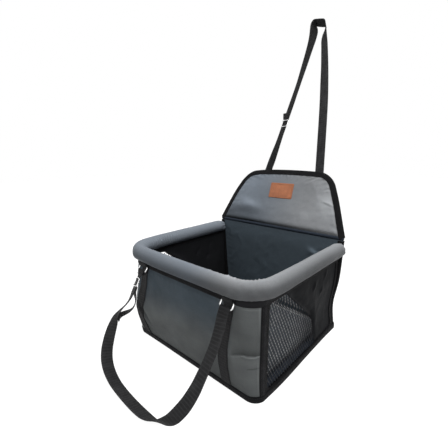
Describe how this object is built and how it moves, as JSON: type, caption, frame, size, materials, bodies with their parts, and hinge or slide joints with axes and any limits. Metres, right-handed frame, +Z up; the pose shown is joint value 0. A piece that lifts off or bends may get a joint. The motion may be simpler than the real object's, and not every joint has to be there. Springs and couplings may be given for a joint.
{
  "type": "dog car seat",
  "caption": "Soft bucket seat for a small dog in a car, with a padded rim, net sides, a folding backrest with a headrest strap, a seat cushion and a webbing handle.",
  "frame": {"origin": "on the floor under the middle of the base, halfway between the base's sides and between its front and back edges", "axes": "+Z is up, the front wall with the handle faces -Y, the backrest stands at +Y, and +X is to the right as seen from the front"},
  "size_m": [0.445, 0.7595, 0.8744],
  "materials": {
    "grey_cloth": "coated woven cloth, satin",
    "slate_cloth": "coated woven cloth, satin",
    "black_cloth": "coated woven cloth, matt",
    "black_tape": "ribbed binding tape, matt",
    "black_webbing": "woven webbing, matt",
    "black_net": "knitted net, matt",
    "white_foam": "soft foam sheet",
    "board": "stiff board, matt",
    "white_tube": "plastic tube, satin",
    "steel": "plated wire and plate, bright",
    "tan_leather": "smooth, matt",
    "cushion_cloth": "brushed cloth, matt"
  },
  "bodies": {
    "bucket": {"base_panel": "black_cloth", "base_board": "board", "base_lining": "slate_cloth", "front_wall": "slate_cloth", "front_foam": "white_foam", "front_lining": "slate_cloth", "left_side_panel": "black_tape", "right_side_panel": "black_tape", "left_mesh": "black_net", "right_mesh": "black_net", "back_cover": "black_cloth", "back_board": "board", "back_lining": "slate_cloth", "fold_seam": "slate_cloth", "left_back_binding": "black_tape", "right_back_binding": "black_tape", "rim_sleeve": "grey_cloth", "rim_foam": "white_foam", "rim_tube_left": "white_tube", "rim_tube_right": "white_tube", "rim_tube_front": "white_tube", "rim_elbow_left": "white_tube", "rim_elbow_right": "white_tube", "rim_band": "black_tape", "left_corner_binding": "black_tape", "right_corner_binding": "black_tape", "base_binding": "black_tape", "left_webbing": "black_webbing", "right_webbing": "black_webbing", "left_ring_loop": "black_webbing", "right_ring_loop": "black_webbing"},
    "backrest": {"backrest_cover": "grey_cloth", "backrest_board": "board", "backrest_back": "black_cloth", "backrest_binding": "black_tape", "label_patch": "tan_leather", "headrest_strap": "black_webbing"},
    "headrest_slider": {"headrest_slider": "steel", "headrest_strap_tail": "black_webbing"},
    "carry_strap": {"carry_strap": "black_webbing", "left_ring": "steel", "right_ring": "steel"},
    "carry_slider": {"carry_slider": "steel", "carry_strap_tail": "black_webbing"},
    "cushion": {"seat_cushion": "cushion_cloth"}
  },
  "joints": [
    {"name": "backrest_fold", "type": "hinge", "parent": "bucket", "child": "backrest", "pos_m": [0, 0.169, 0.26], "axis": [1, 0, 0], "range_deg": [0, 110]},
    {"name": "headrest_slider_slide", "type": "slide", "parent": "backrest", "child": "headrest_slider", "axis": [0.1386, 0.3387, 0.9306], "range_m": [-0.025, 0.025]},
    {"name": "strap_swing", "type": "hinge", "parent": "bucket", "child": "carry_strap", "pos_m": [0, -0.1988, 0.2091], "axis": [-1, 0, 0], "range_deg": [0, 95]},
    {"name": "carry_slider_slide", "type": "slide", "parent": "carry_strap", "child": "carry_slider", "axis": [0.0995, -0.5668, -0.8178], "range_m": [0, 0.006]},
    {"name": "cushion_lift", "type": "slide", "parent": "bucket", "child": "cushion", "axis": [0, 0, 1], "range_m": [0, 0.2]}
  ]
}
